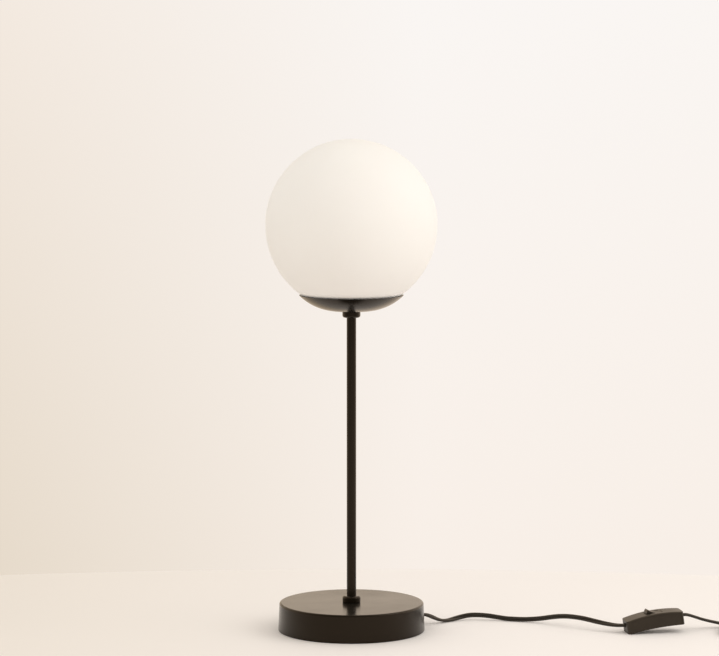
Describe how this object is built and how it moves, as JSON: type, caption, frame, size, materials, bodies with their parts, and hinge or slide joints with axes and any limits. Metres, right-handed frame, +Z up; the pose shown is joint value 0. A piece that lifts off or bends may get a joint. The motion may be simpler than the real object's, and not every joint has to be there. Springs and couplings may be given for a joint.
{
  "type": "globe table lamp",
  "caption": "Table lamp: opal glass globe in a shallow dish on a thin stem with a round weighted base, and a flat cord with an in-line rocker switch and a flat two-pin plug.",
  "frame": {"origin": "centre of the underside of the base, on the table", "axes": "+Z up along the stem, +X to the right where the cord leaves, -Y to the viewer of the picture"},
  "size_m": [0.5626, 0.18, 0.5189],
  "materials": {
    "black_metal": "satin black-brown lacquer",
    "dish_metal": "satin black-brown lacquer",
    "iron": "rough casting",
    "pad_rubber": "matte foam",
    "black_plastic": "fine satin moulding",
    "black_cord": "satin sheath",
    "plain_steel": "plated",
    "nickel": "polished nickel",
    "silicone": "translucent matte",
    "white_plastic": "satin",
    "cream_moulding": "matte",
    "brass": "plain",
    "opal_glass": "matte opal",
    "bulb_diffuser": "frosted",
    "black_glass": "gloss",
    "brown_core": "satin",
    "blue_core": "satin"
  },
  "bodies": {
    "lamp": {"base_cover": "black_metal", "base_weight": "iron", "base_pad": "pad_rubber", "cord_grommet": "black_plastic", "cord_clamp": "white_plastic", "clamp_screws": "plain_steel", "inner_cord": "black_cord", "base_washer": "plain_steel", "base_nut": "plain_steel", "lower_collar": "black_metal", "stem_tube": "black_metal", "upper_collar": "black_metal", "dish": "dish_metal", "clip_plate": "plain_steel", "spring_clips": "plain_steel", "clip_rivets": "plain_steel", "seat_ring": "silicone", "lock_washer": "plain_steel", "dish_nut": "plain_steel", "holder_cap": "white_plastic", "holder_insert": "cream_moulding", "screw_shell": "brass", "centre_contact": "brass", "holder_terminals": "brass", "terminal_screws": "plain_steel", "holder_skirt": "white_plastic", "live_core": "brown_core", "neutral_core": "blue_core", "switch_base": "black_plastic", "switch_cover": "black_plastic", "switch_screws": "plain_steel", "line_contact": "brass", "load_contact": "brass", "contact_screws": "plain_steel", "live_leads": "brown_core", "neutral_lead": "blue_core", "cord_to_switch": "black_cord", "cord_to_coil": "black_cord", "cord_coil": "black_cord", "cord_to_plug": "black_cord", "plug_body": "black_plastic", "plug_pins": "nickel", "pin_sleeves": "black_plastic"},
    "globe": {"globe": "opal_glass"},
    "bulb": {"bulb_ball": "bulb_diffuser", "bulb_collar": "white_plastic", "bulb_cap": "nickel", "bulb_insulator": "black_glass", "bulb_contact": "plain_steel", "led_board": "white_plastic"},
    "rocker": {"rocker": "black_plastic", "plunger": "white_plastic", "plunger_spring": "plain_steel"},
    "bridge": {"contact_bridge": "brass"}
  },
  "joints": [
    {"name": "globe_lift", "type": "slide", "parent": "lamp", "child": "globe", "axis": [0, 0, 1], "range_m": [0, 0.15], "deforming": ["spring_clips"]},
    {"name": "bulb_out", "type": "slide", "parent": "lamp", "child": "bulb", "axis": [0, 0, 1], "range_m": [0, 0.03]},
    {"name": "rocker_rock", "type": "hinge", "parent": "lamp", "child": "rocker", "pos_m": [0.31839, -0.012, 0.01906], "axis": [0.1668, -0.986, 0], "range_deg": [0, 30]},
    {"name": "bridge_rock", "type": "hinge", "parent": "lamp", "child": "bridge", "pos_m": [0.31972, -0.01177, 0.01006], "axis": [0.1668, -0.986, 0], "range_deg": [-16, 0]}
  ],
  "couplings": [
    {"joint": "bridge_rock", "follows": "rocker_rock", "ratio": -0.533}
  ]
}
